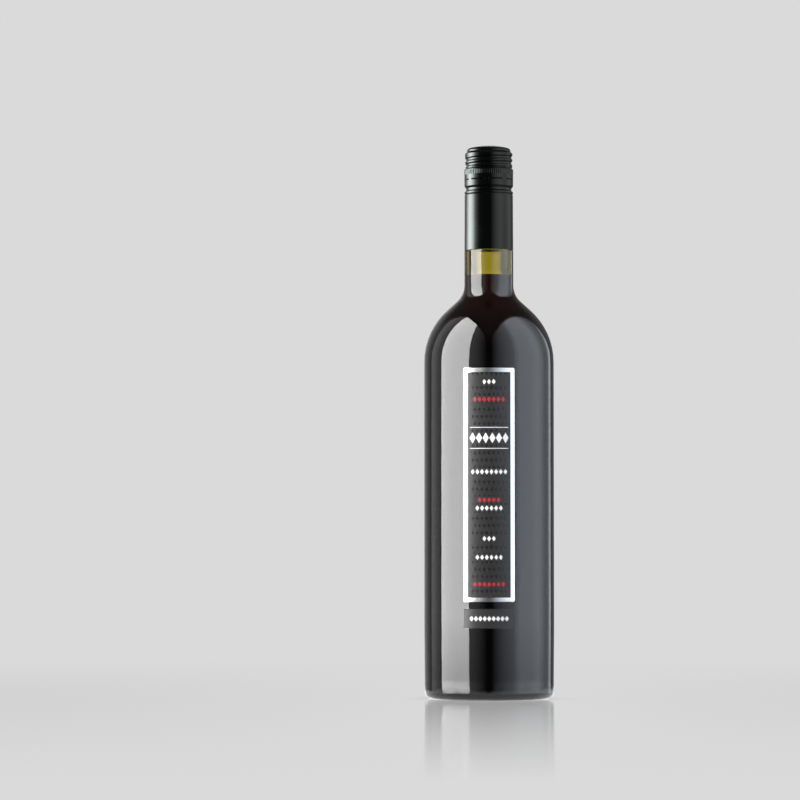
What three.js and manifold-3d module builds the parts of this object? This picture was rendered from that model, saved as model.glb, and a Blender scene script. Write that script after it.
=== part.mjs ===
// A full 750 ml red wine bottle, shut with a long aluminium screw cap.
// Units are millimetres, +Z is up. The origin is the middle of the ring that the bottle stands on,
// and the label faces -Y. The round pieces are turned about the Z axis. Those that follow the body
// share its angular steps, so nested surfaces stay parallel and keep their clearances.
import * as THREE from "three";
import { mergeVertices } from "three/addons/utils/BufferGeometryUtils.js";
import Module from "manifold-3d";

const wasm = await Module();
wasm.setup();

const BODY_STEPS = 52;
const CAP_STEPS = 72;
const DEGREE = Math.PI / 180;

// Driving dimensions of the glass.
const HEIGHT = 318;
const BODY_RADIUS = 37.25;
const HEEL_RADIUS = 36.95; // the body narrows a little just above its foot
const HEEL_RELIEF_TOP = 42;
const HEEL_ROUND = 4.2;
const REST_RING_INNER = 29;
const PUSH_UP = 3.5; // rise of the middle of the base above the ring it stands on
const SHOULDER_START = 193;
const SHOULDER_ROUND = 40;
const SHOULDER_SLOPE = 48 * DEGREE;
const NECK_RADIUS = 14.1;
const NECK_TOP_RADIUS = 14.05;
const NECK_ROUND = 12.5;
const LIP_ROUND = 1;
const WALL = 3.3;
const BORE_RADIUS = 9;
const BORE_START = 247;
const FLOOR_THICKNESS = 6.5;
const INNER_HEEL_ROUND = 7;

// Driving dimensions of the closure, from its domed top down: crown, rolled thread, knurled band,
// tear line, groove, bead and the long sleeve.
const CAP_LENGTH = 60.7;
const CAP_WALL = 0.55;
const CAP_CLEARANCE = 0.15;
const CAP_INNER = 12.5; // inside radius above the sleeve
const LINER_THICKNESS = 2;
const CROWN_RISE = 1.5;
const CROWN_RADIUS = 10.8;
const RIM_ROUND = 1.8;
const UNDERCUT = { r: 12.6, z: HEIGHT - 3.7 };
const THREAD_TOP = { r: 13.7, z: HEIGHT - 4.5 };
const THREAD_FOOT = { r: 13.4, z: HEIGHT - 13.4 };
const THREAD_PITCH = 3.18;
const THREAD_DEPTH = 0.4;
const THREAD_HALF_WIDTH = 0.95;
const THREAD_DATUM = HEIGHT - 13.4; // where the groove would pass +X before its first turn
const THREAD_FROM = 0.3; // turns from the datum to where the groove starts and ends
const THREAD_TO = 2.25;
const THREAD_FADE = 0.15;
const BAND_RADIUS = 14.1;
const BAND_TOP = HEIGHT - 14.2;
const BAND_FOOT = HEIGHT - 17.4;
const BAND_EDGE = 0.25;
const KNURLS = 72;
const KNURL_DEPTH = 0.25;
const SLIT_MIDDLE = HEIGHT - 20.1;
const SLIT_HEIGHT = 0.6;
const SLIT_DEPTH = 0.3;
const BRIDGES = 8;
const COLLAR_FOOT = HEIGHT - 24.2;
const COLLAR_EDGE = 0.7;
const GROOVE = { r: 13.2, z: HEIGHT - 25.5, flat: 1.1 };
const BEAD = { r: 13.98, z: HEIGHT - 27.9, height: 0.9, slope: 0.15 };
const LINE = { r: 13.7, z: HEIGHT - 28.4 };
const SLEEVE_TOP = { r: 13.92, z: HEIGHT - 28.9 };
const SLEEVE_RADIUS = 14.05;

// Driving dimensions of the wine and the labels. Half widths are as seen from the front.
const WINE_LEVEL = 243;
const WINE_CLEARANCE = 0.3;
const LABEL_CLEARANCE = 0.06;
const LABEL_THICKNESS = 0.18;
const FRONT_LABEL = { halfWidth: 14.3, low: 55.8, high: 187.9, corner: 0.9 };
const LOWER_LABEL = { halfWidth: 14.2, low: 40.9, high: 51.8, corner: 0.7 };
const FOIL_THICKNESS = 0.16;
const FOIL_CLEARANCE = 0.04;
const FOIL_BAND = 2.4;
const FOIL_INNER_CORNER = 0.3;

const capBottom = HEIGHT - CAP_LENGTH;

/** Points of an arc about (cr, cz), from one angle to another, counted up from the outward direction. */
function arc(cr, cz, radius, from, to, steps) {
  return Array.from({ length: steps + 1 }, (_, i) => {
    const angle = from + ((to - from) * i) / steps;
    return [cr + radius * Math.cos(angle), cz + radius * Math.sin(angle)];
  });
}

/** Points of a soft dome from the axis, where it is highest, out to its level foot. */
function dome(width, low, steps) {
  return Array.from({ length: steps + 1 }, (_, i) => {
    const t = i / steps;
    return [width * t, low + (PUSH_UP * (1 + Math.cos(Math.PI * t))) / 2];
  });
}

/** A closed profile of [radius, height] points turned about Z. It runs out and up on its outer side. */
function turn(points, steps = BODY_STEPS) {
  const profile = points.map(([r, z]) => new THREE.Vector2(r, z));
  return new THREE.LatheGeometry(profile, steps).rotateX(Math.PI / 2);
}

/** A closed geometry as a solid that can be cut and joined. */
function solid(geometry) {
  const bare = geometry.index ? geometry.toNonIndexed() : geometry.clone();
  bare.deleteAttribute("normal");
  bare.deleteAttribute("uv");
  const merged = mergeVertices(bare, 1e-4);
  return new wasm.Manifold(
    new wasm.Mesh({
      numProp: 3,
      vertProperties: merged.attributes.position.array,
      triVerts: new Uint32Array(merged.index.array),
    }),
  );
}

/** A solid back as a geometry for a mesh. */
function geometryOf(made) {
  const mesh = made.getMesh();
  return new THREE.BufferGeometry()
    .setAttribute("position", new THREE.BufferAttribute(mesh.vertProperties, 3))
    .setIndex(new THREE.BufferAttribute(mesh.triVerts, 1));
}

/** All of a list of solids joined into one. */
function joined(solids) {
  return solids.reduce((whole, piece) => whole.add(piece));
}

// The shoulder is one big arc, a short straight slope and a hollow arc that runs up into the neck.
const shoulderCentre = BODY_RADIUS - SHOULDER_ROUND;
const neckCentre = NECK_RADIUS + NECK_ROUND;
const slopeFoot = SHOULDER_START + SHOULDER_ROUND * Math.sin(SHOULDER_SLOPE);
const slopeFootRadius = shoulderCentre + SHOULDER_ROUND * Math.cos(SHOULDER_SLOPE);
const slopeHeadRadius = neckCentre - NECK_ROUND * Math.cos(SHOULDER_SLOPE);
const slopeRise = (slopeFootRadius - slopeHeadRadius) / Math.tan(SHOULDER_SLOPE);
const neckStart = slopeFoot + slopeRise + NECK_ROUND * Math.sin(SHOULDER_SLOPE);

/** The shoulder from the body up to the neck, at a depth below the outer surface. */
function shoulder(depth, arcSteps, neckSteps) {
  return [
    ...arc(shoulderCentre, SHOULDER_START, SHOULDER_ROUND - depth, 0, SHOULDER_SLOPE, arcSteps),
    ...arc(
      neckCentre,
      neckStart,
      NECK_ROUND + depth,
      Math.PI + SHOULDER_SLOPE,
      Math.PI,
      neckSteps,
    ),
  ];
}

/** The hollow of the bottle from the middle of its floor up to the neck, drawn in by a clearance. */
function hollow(clearance) {
  const wall = WALL + clearance;
  const radius = BODY_RADIUS - wall;
  const floor = FLOOR_THICKNESS + clearance;
  const corner = arc(
    radius - INNER_HEEL_ROUND,
    floor + INNER_HEEL_ROUND,
    INNER_HEEL_ROUND,
    -Math.PI / 2,
    0,
    3,
  );
  const risen = dome(radius - INNER_HEEL_ROUND, floor, 3);
  const bore = BORE_RADIUS - clearance;
  const widest = NECK_RADIUS - wall;
  const narrowing = [1, 2, 3].map((row) => {
    const t = row / 3;
    const eased = t * t * (3 - 2 * t);
    return [widest + (bore - widest) * eased, neckStart + (BORE_START - neckStart) * t];
  });
  return [...risen.slice(0, -1), ...corner, ...shoulder(wall, 5, 3), ...narrowing];
}

/** The glass: a pushed-up base, a straight body, a high round shoulder and a neck open at the mouth. */
function glassBottle() {
  const finishRadius = SLEEVE_TOP.r - CAP_WALL - CAP_CLEARANCE;
  const finishStart = capBottom - CAP_CLEARANCE;
  const lipRadius = CAP_INNER - CAP_CLEARANCE;
  const lipStart = SLEEVE_TOP.z - 2;
  const mouth = HEIGHT - CROWN_RISE - CAP_WALL - LINER_THICKNESS - CAP_CLEARANCE;
  const outside = [
    ...dome(REST_RING_INNER, 0, 3),
    ...arc(HEEL_RADIUS - HEEL_ROUND, HEEL_ROUND, HEEL_ROUND, -Math.PI / 2, 0, 4),
    [BODY_RADIUS, HEEL_RELIEF_TOP],
    ...shoulder(0, 7, 4),
    [NECK_TOP_RADIUS, finishStart],
    [finishRadius, finishStart],
    [finishRadius, lipStart],
    [lipRadius, lipStart + 1],
    ...arc(lipRadius - LIP_ROUND, mouth - LIP_ROUND, LIP_ROUND, 0, Math.PI / 2, 2),
  ];
  return turn([...outside, [BORE_RADIUS, mouth], ...hollow(0).reverse()]);
}

/** The wine, which fills the bottle up to a level in the neck. */
function wine() {
  const walls = hollow(WINE_CLEARANCE);
  const below = walls.filter(([, z]) => z < WINE_LEVEL);
  const [lowRadius, low] = below.at(-1);
  const [highRadius, high] = walls[below.length];
  const topRadius = lowRadius + ((highRadius - lowRadius) * (WINE_LEVEL - low)) / (high - low);
  return turn([...below, [topRadius, WINE_LEVEL], [0, WINE_LEVEL]]);
}

/** How deep the rolled thread is pressed in at an angle and a height: a groove that climbs as it turns. */
function threadDepth(angle, z) {
  const turned = (angle / (2 * Math.PI) + 1) % 1;
  const depths = [0, 1, 2].map((lap) => {
    const along = lap + turned;
    const offset = (z - THREAD_DATUM - along * THREAD_PITCH) / THREAD_HALF_WIDTH;
    const fade = Math.min(1, (along - THREAD_FROM) / THREAD_FADE, (THREAD_TO - along) / THREAD_FADE);
    return THREAD_DEPTH * Math.max(0, fade) * Math.exp(-offset * offset);
  });
  return Math.max(...depths);
}

/** How deep the tear line is cut at an angle: not at all where a bridge holds it together. */
function slitDepth(angle) {
  const step = Math.round((angle / (2 * Math.PI)) * CAP_STEPS);
  return step % (CAP_STEPS / BRIDGES) === 0 ? 0 : SLIT_DEPTH;
}

/** V-shaped grooves round the knurled band, each cut by a wedge whose edge points at the axis. */
function knurlCutters() {
  const wedge = new THREE.Shape([
    new THREE.Vector2(0, KNURL_DEPTH - BAND_RADIUS),
    new THREE.Vector2(-2 * KNURL_DEPTH, -KNURL_DEPTH - BAND_RADIUS),
    new THREE.Vector2(2 * KNURL_DEPTH, -KNURL_DEPTH - BAND_RADIUS),
  ]);
  const depth = BAND_TOP - BAND_EDGE - BAND_FOOT;
  return Array.from({ length: KNURLS }, (_, i) =>
    solid(
      new THREE.ExtrudeGeometry(wedge, { depth, bevelEnabled: false })
        .translate(0, 0, BAND_FOOT)
        .rotateZ(((i + 0.5) * 2 * Math.PI) / KNURLS),
    ),
  );
}

/** The closure as it is turned, before its thread, slits and knurls: one thin shell. */
function turnedCap() {
  const threadRows = 10;
  const thread = Array.from({ length: threadRows + 1 }, (_, row) => [
    THREAD_FOOT.r + ((THREAD_TOP.r - THREAD_FOOT.r) * row) / threadRows,
    THREAD_FOOT.z + ((THREAD_TOP.z - THREAD_FOOT.z) * row) / threadRows,
  ]);
  const slit = [-1, -0.5, 0.5, 1].map((share) => [BAND_RADIUS, SLIT_MIDDLE + share * SLIT_HEIGHT]);
  const outside = [
    [SLEEVE_RADIUS, capBottom],
    [SLEEVE_TOP.r, SLEEVE_TOP.z],
    [LINE.r, LINE.z],
    [BEAD.r, BEAD.z],
    [BEAD.r - BEAD.slope, BEAD.z + BEAD.height],
    [GROOVE.r, GROOVE.z - GROOVE.flat / 2],
    [GROOVE.r, GROOVE.z + GROOVE.flat / 2],
    [BAND_RADIUS - BAND_EDGE, COLLAR_FOOT],
    [BAND_RADIUS, COLLAR_FOOT + COLLAR_EDGE],
    ...slit,
    [BAND_RADIUS, BAND_TOP - BAND_EDGE],
    [BAND_RADIUS - BAND_EDGE, BAND_TOP],
    ...thread,
    [UNDERCUT.r, UNDERCUT.z],
    ...arc(CROWN_RADIUS, HEIGHT - CROWN_RISE - RIM_ROUND, RIM_ROUND, 0, Math.PI / 2, 2),
    [0, HEIGHT],
  ];
  const insideTop = HEIGHT - CROWN_RISE - CAP_WALL - LINER_THICKNESS;
  const inside = [
    [0, insideTop],
    [CAP_INNER, insideTop],
    [CAP_INNER, SLEEVE_TOP.z + CAP_WALL],
    [SLEEVE_TOP.r - CAP_WALL, SLEEVE_TOP.z],
    [SLEEVE_RADIUS - CAP_WALL, capBottom],
  ];
  return turn([...outside, ...inside, outside[0]], CAP_STEPS);
}

/** The screw cap and its sleeve, drawn over the neck as one thin shell and rolled into rings. */
function screwCap() {
  const cap = turnedCap();
  const place = cap.attributes.position;
  for (let i = 0; i < place.count; i++) {
    const [x, y, z] = [place.getX(i), place.getY(i), place.getZ(i)];
    const radius = Math.hypot(x, y);
    const angle = Math.atan2(y, x);
    let depth = 0;
    if (z > THREAD_FOOT.z && z < THREAD_TOP.z + CAP_CLEARANCE && radius > CAP_INNER + CAP_WALL) {
      depth = threadDepth(angle, z);
    } else if (Math.abs(z - SLIT_MIDDLE) < SLIT_HEIGHT * 0.75) {
      depth = slitDepth(angle);
    }
    place.setXY(i, x * (1 - depth / radius), y * (1 - depth / radius));
  }
  return geometryOf(solid(cap).subtract(joined(knurlCutters())));
}

/** A round-cornered rectangle as a prism that runs from the axis out through the front of the bottle. */
function window({ halfWidth, low, high, corner }) {
  const outline = new THREE.Shape();
  const turns = [
    [halfWidth - corner, low + corner, -Math.PI / 2],
    [halfWidth - corner, high - corner, 0],
    [corner - halfWidth, high - corner, Math.PI / 2],
    [corner - halfWidth, low + corner, Math.PI],
  ];
  for (const [x, z, from] of turns) {
    outline.absarc(x, z, corner, from, from + Math.PI / 2, false);
  }
  return solid(
    new THREE.ExtrudeGeometry(outline, {
      depth: 2 * BODY_RADIUS,
      bevelEnabled: false,
      curveSegments: 3,
    }).rotateX(Math.PI / 2),
  );
}

/** A thin round skin about the body, from an inner radius outwards. */
function skin(inner, thickness, low, high) {
  const outer = inner + thickness;
  return solid(
    turn([
      [inner, low],
      [outer, low],
      [outer, high],
      [inner, high],
      [inner, low],
    ]),
  );
}

/** A label of one thickness that follows the glass. */
function label(outline) {
  const inner = BODY_RADIUS + LABEL_CLEARANCE;
  const ring = skin(inner, LABEL_THICKNESS, outline.low - 1, outline.high + 1);
  return geometryOf(ring.intersect(window(outline)));
}

/** The foil frame that runs round the edge of the front label, on its face. */
function foilFrame() {
  const inner = BODY_RADIUS + LABEL_CLEARANCE + LABEL_THICKNESS + FOIL_CLEARANCE;
  const { halfWidth, low, high } = FRONT_LABEL;
  const opening = window({
    halfWidth: halfWidth - FOIL_BAND,
    low: low + FOIL_BAND,
    high: high - FOIL_BAND,
    corner: FOIL_INNER_CORNER,
  });
  const ring = skin(inner, FOIL_THICKNESS, low - 1, high + 1);
  return geometryOf(ring.intersect(window(FRONT_LABEL)).subtract(opening));
}

const materials = {
  glass: new THREE.MeshStandardMaterial({
    color: 0x5a5a1c,
    roughness: 0.05,
    metalness: 0,
    transparent: true,
    opacity: 0.4,
  }),
  wine: new THREE.MeshStandardMaterial({ color: 0x1c0408, roughness: 0.1, metalness: 0 }),
  lacquer: new THREE.MeshStandardMaterial({ color: 0x0e1613, roughness: 0.3, metalness: 0.6 }),
  print: new THREE.MeshStandardMaterial({ color: 0x3f3d3d, roughness: 0.5, metalness: 0 }),
  foil: new THREE.MeshStandardMaterial({ color: 0xe8e8ea, roughness: 0.2, metalness: 1 }),
};

/** A named piece of the bottle. */
function piece(name, geometry, material) {
  const mesh = new THREE.Mesh(geometry, material);
  mesh.name = name;
  return mesh;
}

const bottle = new THREE.Group();
bottle.name = "wine_bottle";
bottle.add(
  piece("glass_bottle", glassBottle(), materials.glass),
  piece("wine", wine(), materials.wine),
  piece("screw_cap", screwCap(), materials.lacquer),
  piece("front_label", label(FRONT_LABEL), materials.print),
  piece("label_foil_frame", foilFrame(), materials.foil),
  piece("lower_label", label(LOWER_LABEL), materials.print),
);

export default bottle;
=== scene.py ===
"""A shut glass bottle of red wine with a long screw cap and a narrow foil-framed label.

Each piece is a class that holds its sizes in metres, works its surface out with numpy and dresses it.
The bottle stands on the origin, +Z is up, and the label faces -Y.
"""

from __future__ import annotations

import logging
import math
from dataclasses import dataclass
from enum import Enum
from typing import Any, Mapping, Sequence, Union

import bpy
import numpy as np
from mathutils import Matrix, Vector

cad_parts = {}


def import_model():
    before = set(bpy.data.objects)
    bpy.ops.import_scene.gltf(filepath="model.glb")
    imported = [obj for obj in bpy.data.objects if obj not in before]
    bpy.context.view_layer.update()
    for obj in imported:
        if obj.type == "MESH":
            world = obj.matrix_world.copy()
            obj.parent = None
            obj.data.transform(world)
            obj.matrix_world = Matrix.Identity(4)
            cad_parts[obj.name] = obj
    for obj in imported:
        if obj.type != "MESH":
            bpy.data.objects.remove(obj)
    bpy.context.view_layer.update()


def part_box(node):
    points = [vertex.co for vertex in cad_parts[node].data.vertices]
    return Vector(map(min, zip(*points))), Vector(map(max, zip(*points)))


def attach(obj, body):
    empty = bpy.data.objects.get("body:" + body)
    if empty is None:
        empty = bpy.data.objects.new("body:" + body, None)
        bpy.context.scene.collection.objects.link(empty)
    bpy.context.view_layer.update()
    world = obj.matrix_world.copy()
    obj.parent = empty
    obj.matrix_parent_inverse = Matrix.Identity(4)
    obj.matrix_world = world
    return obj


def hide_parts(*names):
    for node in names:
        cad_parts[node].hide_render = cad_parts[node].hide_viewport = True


LOG = logging.getLogger("wine_bottle")
MM = 0.001
BODY = "root"

# How steeply one looks up from the bottle to the top of the lit room: at its sides, at the front, and
# how much less steeply at the back.
SIDE_SLOPE = 2.07
FRONT_SLOPE = 0.775
BACK_SLOPE = 1.3

# The share of the panels' light that a ray still shows after a reflection inside the glass.
STRAY_SHARE = 0.25

# Whole pitches added to a place across a label, so that it is never below 0.
PITCHES_ASIDE = 40

Colour = tuple[float, float, float]
Profile = Sequence[tuple[float, float]]
Feed = Union["Value", bpy.types.NodeSocket, float, Sequence[float]]


def rgba(colour: Colour) -> tuple[float, float, float, float]:
    """A colour with full opacity added."""
    return (*colour, 1.0)


class Value:
    """A number on its way through a shader. An expression on values adds its Math nodes."""

    def __init__(self, sheet: "NodeSheet", socket: bpy.types.NodeSocket) -> None:
        """Wraps one output socket of a node on a sheet."""
        self.sheet = sheet
        self.socket = socket

    def __add__(self, other: Feed) -> "Value":
        """The sum with another value."""
        return self.sheet.math("ADD", self, other)

    __radd__ = __add__

    def __sub__(self, other: Feed) -> "Value":
        """This value less another."""
        return self.sheet.math("SUBTRACT", self, other)

    def __rsub__(self, other: Feed) -> "Value":
        """Another value less this one."""
        return self.sheet.math("SUBTRACT", other, self)

    def __mul__(self, other: Feed) -> "Value":
        """The product with another value."""
        return self.sheet.math("MULTIPLY", self, other)

    __rmul__ = __mul__

    def __truediv__(self, other: Feed) -> "Value":
        """This value divided by another."""
        return self.sheet.math("DIVIDE", self, other)

    def __abs__(self) -> "Value":
        """This value without its sign."""
        return self.sheet.math("ABSOLUTE", self)

    def step(self, low: float, high: float) -> "Value":
        """A soft step, 3 t^2 - 2 t^3, where t goes from 0 at one value to 1 at another.

        Args:
            low: the value where the step is 0.
            high: the value where it is 1, which may lie below low.

        Returns:
            The step, which stays 0 and 1 outside these values.
        """
        settings = {"interpolation_type": "SMOOTHSTEP"}
        feeds: dict[Any, Feed] = {"Value": self, "From Min": low, "From Max": high}
        if low > high:
            feeds.update({"From Min": high, "From Max": low, "To Min": 1.0, "To Max": 0.0})
        return self.sheet.read("ShaderNodeMapRange", settings, feeds)


class NodeSheet:
    """The nodes of one material or of the surroundings, with one way to add any of them."""

    def __init__(self, tree: bpy.types.NodeTree) -> None:
        """Starts on an emptied node tree."""
        self.tree = tree
        tree.nodes.clear()

    def add(
        self,
        kind: str,
        settings: Mapping[str, Any] | None = None,
        feeds: Mapping[Any, Feed] | None = None,
    ) -> bpy.types.Node:
        """Adds a node.

        Args:
            kind: the node's type.
            settings: its properties, set first. "stops" holds the (place, brightness) pairs of a ramp.
            feeds: the values or links of its sockets, by name or number.

        Returns:
            The new node.
        """
        node = self.tree.nodes.new(kind)
        for name, setting in (settings or {}).items():
            if name == "stops":
                self._set_stops(node.color_ramp, setting)
            else:
                setattr(node, name, setting)
        for name, feed in (feeds or {}).items():
            socket = node.inputs[name]
            if isinstance(feed, Value):
                self.tree.links.new(feed.socket, socket)
            elif isinstance(feed, bpy.types.NodeSocket):
                self.tree.links.new(feed, socket)
            else:
                socket.default_value = feed
        return node

    def read(
        self,
        kind: str,
        settings: Mapping[str, Any] | None = None,
        feeds: Mapping[Any, Feed] | None = None,
        output: str | int = 0,
    ) -> Value:
        """Adds a node, as add does, and returns the value of one of its outputs."""
        return Value(self, self.add(kind, settings, feeds).outputs[output])

    def math(self, operation: str, *values: Feed) -> Value:
        """The result of a Math node on one to three values."""
        return self.read("ShaderNodeMath", {"operation": operation}, dict(enumerate(values)))

    def mix(self, share: Feed, first: Feed, second: Feed) -> Value:
        """A colour that goes from the first to the second as the share goes from 0 to 1."""
        feeds = {"Factor": share, 6: first, 7: second}
        return self.read("ShaderNodeMix", {"data_type": "RGBA"}, feeds, 2)

    def place(self, source: str = "Object") -> tuple[Value, Value, Value]:
        """Reads a texture coordinate.

        Args:
            source: the kind of coordinate.

        Returns:
            Its x, y and z.
        """
        where = self.read("ShaderNodeTexCoord", output=source)
        apart = self.add("ShaderNodeSeparateXYZ", None, {0: where})
        x, y, z = (Value(self, part) for part in apart.outputs)
        return x, y, z

    def through_glass(self) -> Value:
        """Tells the rays that come through glass from the others.

        Returns:
            1 for a ray straight through glass, less the stray share if it was reflected, or else 0.
        """
        path = self.add("ShaderNodeLightPath")
        reflected = Value(self, path.outputs["Glossy Depth"]).step(0.4, 0.6)
        return Value(self, path.outputs["Is Transmission Ray"]) * (1 - STRAY_SHARE * reflected)

    def noise(self, scale: float, detail: float = 2.0, squeeze: Sequence[float] = (1, 1, 1)) -> Value:
        """Cloudy noise in object space.

        Args:
            scale: how many blobs lie in a metre.
            detail: how many finer layers the noise has.
            squeeze: the factors on x, y and z.

        Returns:
            The noise, from 0 to 1.
        """
        where = self.read("ShaderNodeTexCoord", output="Object")
        turned = self.read("ShaderNodeMapping", None, {"Vector": where, "Scale": squeeze})
        feeds = {"Vector": turned, "Scale": scale, "Detail": detail}
        return self.read("ShaderNodeTexNoise", None, feeds)

    def bump(self, height: Value, depth: float, strength: float = 1.0) -> Value:
        """A normal that rises and falls with a height from 0 to 1, by a depth in metres."""
        feeds = {"Height": height, "Distance": depth, "Strength": strength}
        return self.read("ShaderNodeBump", None, feeds)

    @staticmethod
    def _set_stops(ramp: bpy.types.ColorRamp, stops: Sequence[tuple[float, float]]) -> None:
        """Gives a ramp its stops.

        Args:
            ramp: the ramp, which starts with two stops.
            stops: the place and brightness of each, from 0 to 1.
        """
        while len(ramp.elements) < len(stops):
            ramp.elements.new(1.0)
        for element, (place, bright) in zip(ramp.elements, stops):
            element.position = place
            element.color = (bright, bright, bright, 1.0)


def new_material(name: str) -> tuple[bpy.types.Material, NodeSheet]:
    """Makes an empty material.

    Args:
        name: the material's name.

    Returns:
        The material and the sheet of its nodes.
    """
    material = bpy.data.materials.new(name)
    material.use_nodes = True
    return material, NodeSheet(material.node_tree)


def finish_surface(
    sheet: NodeSheet,
    feeds: Mapping[Any, Feed],
    volume: bpy.types.Node | None = None,
) -> None:
    """Ends a material in one Principled surface.

    Args:
        sheet: the material's nodes.
        feeds: the values and links of the surface's sockets.
        volume: the node of what lies behind the surface, if there is one.
    """
    surface = sheet.add("ShaderNodeBsdfPrincipled", None, feeds)
    ends: dict[Any, Feed] = {"Surface": surface.outputs[0]}
    if volume is not None:
        ends["Volume"] = volume.outputs[0]
    sheet.add("ShaderNodeOutputMaterial", None, ends)


def finish_light(sheet: NodeSheet, strength: Feed, tint: Colour = (1.0, 1.0, 1.0)) -> None:
    """Ends a material in light that doesn't stop the light from behind it.

    Args:
        sheet: the material's nodes.
        strength: how bright it is.
        tint: the light's colour.
    """
    light = sheet.add("ShaderNodeEmission", None, {"Color": rgba(tint), "Strength": strength})
    clear = sheet.add("ShaderNodeBsdfTransparent")
    both = sheet.add("ShaderNodeAddShader", None, {0: light.outputs[0], 1: clear.outputs[0]})
    sheet.add("ShaderNodeOutputMaterial", None, {"Surface": both.outputs[0]})


@dataclass(frozen=True)
class BottleGlass:
    """Clear yellow-green bottle glass. What it swallows of red, green and blue is given per metre.

    A volume swallows density (1 - colour) a metre, so with a density above the greatest of the three,
    each part of its colour is 1 - swallowed / density.
    """

    name: str = "bottle_glass"
    ior: float = 1.52
    swallows: Colour = (93.0, 116.0, 392.0)
    density_margin: float = 1.2
    wave_depth: float = 0.05 * MM
    foot_depth: float = 0.3 * MM
    foot_top: float = 12 * MM

    def build(self) -> bpy.types.Material:
        """Clear and polished, with slow waves on the walls and rougher ones at the foot.

        Returns:
            The material.
        """
        material, sheet = new_material(self.name)
        density = self.density_margin * max(self.swallows)
        passed = rgba(tuple(1 - part / density for part in self.swallows))
        volume = sheet.add("ShaderNodeVolumeAbsorption", None, {"Color": passed, "Density": density})
        _, _, height = sheet.place()
        waves = sheet.noise(scale=22, squeeze=(1, 1, 0.35))
        ripples = sheet.noise(scale=120, detail=1) * height.step(self.foot_top, 0.3 * self.foot_top)
        share = self.wave_depth / self.foot_depth
        normal = sheet.bump(waves * share + ripples, self.foot_depth)
        feeds = {
            "Base Color": rgba((1, 1, 1)),
            "Roughness": 0.0,
            "IOR": self.ior,
            "Transmission Weight": 1.0,
            "Normal": normal,
        }
        finish_surface(sheet, feeds, volume)
        return material


@dataclass(frozen=True)
class RedWine:
    """Deep red wine: almost black where the bottle is wide, and a painted dark maroon where it is narrow,
    for the backdrop's light that shines through the wine in the neck.
    """

    deep: Colour = (0.0008, 0.0004, 0.0008)
    # Painted light: the maroon of the backdrop's light shining through the wine in the narrow neck.
    backlit_maroon: Colour = (0.095, 0.024, 0.075)
    rim: Colour = (0.05, 0.006, 0.012)
    deep_below: float = 196 * MM
    backlit_above: float = 238 * MM
    rim_squares: tuple[float, float] = (0.00005, 0.0001)

    def build_depth(self) -> bpy.types.Material:
        """The wine as it shows through the glass, which has no gloss of its own there. Its colour goes from
        near black to a painted maroon up the narrow neck, for the light shining through the wine.

        Returns:
            The material.
        """
        material, sheet = new_material("red_wine_depth")
        _, _, height = sheet.place()
        # Painted light: up the narrow neck the colour turns to the maroon of the light shining through the
        # wine.
        backlit_share = height.step(self.deep_below, self.backlit_above)
        cloud = sheet.noise(scale=30).step(0.3, 0.7)
        tint = sheet.mix(backlit_share, rgba(self.deep), rgba(self.backlit_maroon))
        feeds = {
            "Base Color": sheet.mix(cloud * 0.2, tint, rgba(self.deep)),
            "Roughness": 0.6,
            "Specular IOR Level": 0.0,
        }
        finish_surface(sheet, feeds)
        return material

    def build_top(self) -> bpy.types.Material:
        """The level top of the wine inside the neck, with the gloss of a liquid, and the painted maroon of
        the light shining through the neck away from its rim.

        The rim's colour comes in between two squares of the distance from the axis, in square metres.

        Returns:
            The material.
        """
        material, sheet = new_material("red_wine_top")
        x, y, _ = sheet.place()
        at_rim = (x * x + y * y).step(*self.rim_squares)
        # Painted light: away from the rim the top carries the maroon of the light shining through the neck.
        feeds = {
            "Base Color": sheet.mix(at_rim, rgba(self.backlit_maroon), rgba(self.rim)),
            "Roughness": 0.03,
            "IOR": 1.34,
        }
        finish_surface(sheet, feeds)
        return material


@dataclass(frozen=True)
class CapLacquer:
    """A very dark green lacquer on rolled aluminium."""

    name: str = "cap_lacquer"
    metal: Colour = (0.018, 0.025, 0.022)
    rubbed: Colour = (0.03, 0.042, 0.037)
    edge: Colour = (0.2, 0.26, 0.23)
    grain_depth: float = 0.02 * MM

    def build(self) -> bpy.types.Material:
        """Satin metal under a glossy coat, with a faint drawn grain along the sleeve.

        Returns:
            The material.
        """
        material, sheet = new_material(self.name)
        grain = sheet.noise(scale=900, detail=3, squeeze=(1, 1, 0.06))
        smudge = sheet.noise(scale=60).step(0.45, 0.75)
        feeds = {
            "Base Color": sheet.mix(smudge * 0.4, rgba(self.metal), rgba(self.rubbed)),
            "Metallic": 1.0,
            "Specular Tint": rgba(self.edge),
            "Roughness": 0.2 + 0.06 * grain + 0.05 * smudge,
            "Coat Weight": 0.9 + 0.1 * grain,
            "Coat Roughness": 0.09,
            "Coat IOR": 1.5,
            "Normal": sheet.bump(grain, self.grain_depth, 0.25),
        }
        finish_surface(sheet, feeds)
        return material


@dataclass(frozen=True)
class BareAluminium:
    """The closure's inside, which has no lacquer."""

    name: str = "bare_aluminium"
    colour: Colour = (0.8, 0.8, 0.79)

    def build(self) -> bpy.types.Material:
        """Dull bright metal that scatters the light widely.

        Returns:
            The material.
        """
        material, sheet = new_material(self.name)
        grain = sheet.noise(scale=900, detail=3)
        feeds = {"Base Color": rgba(self.colour), "Metallic": 1.0, "Roughness": 0.55 + 0.15 * grain}
        finish_surface(sheet, feeds)
        return material


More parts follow.
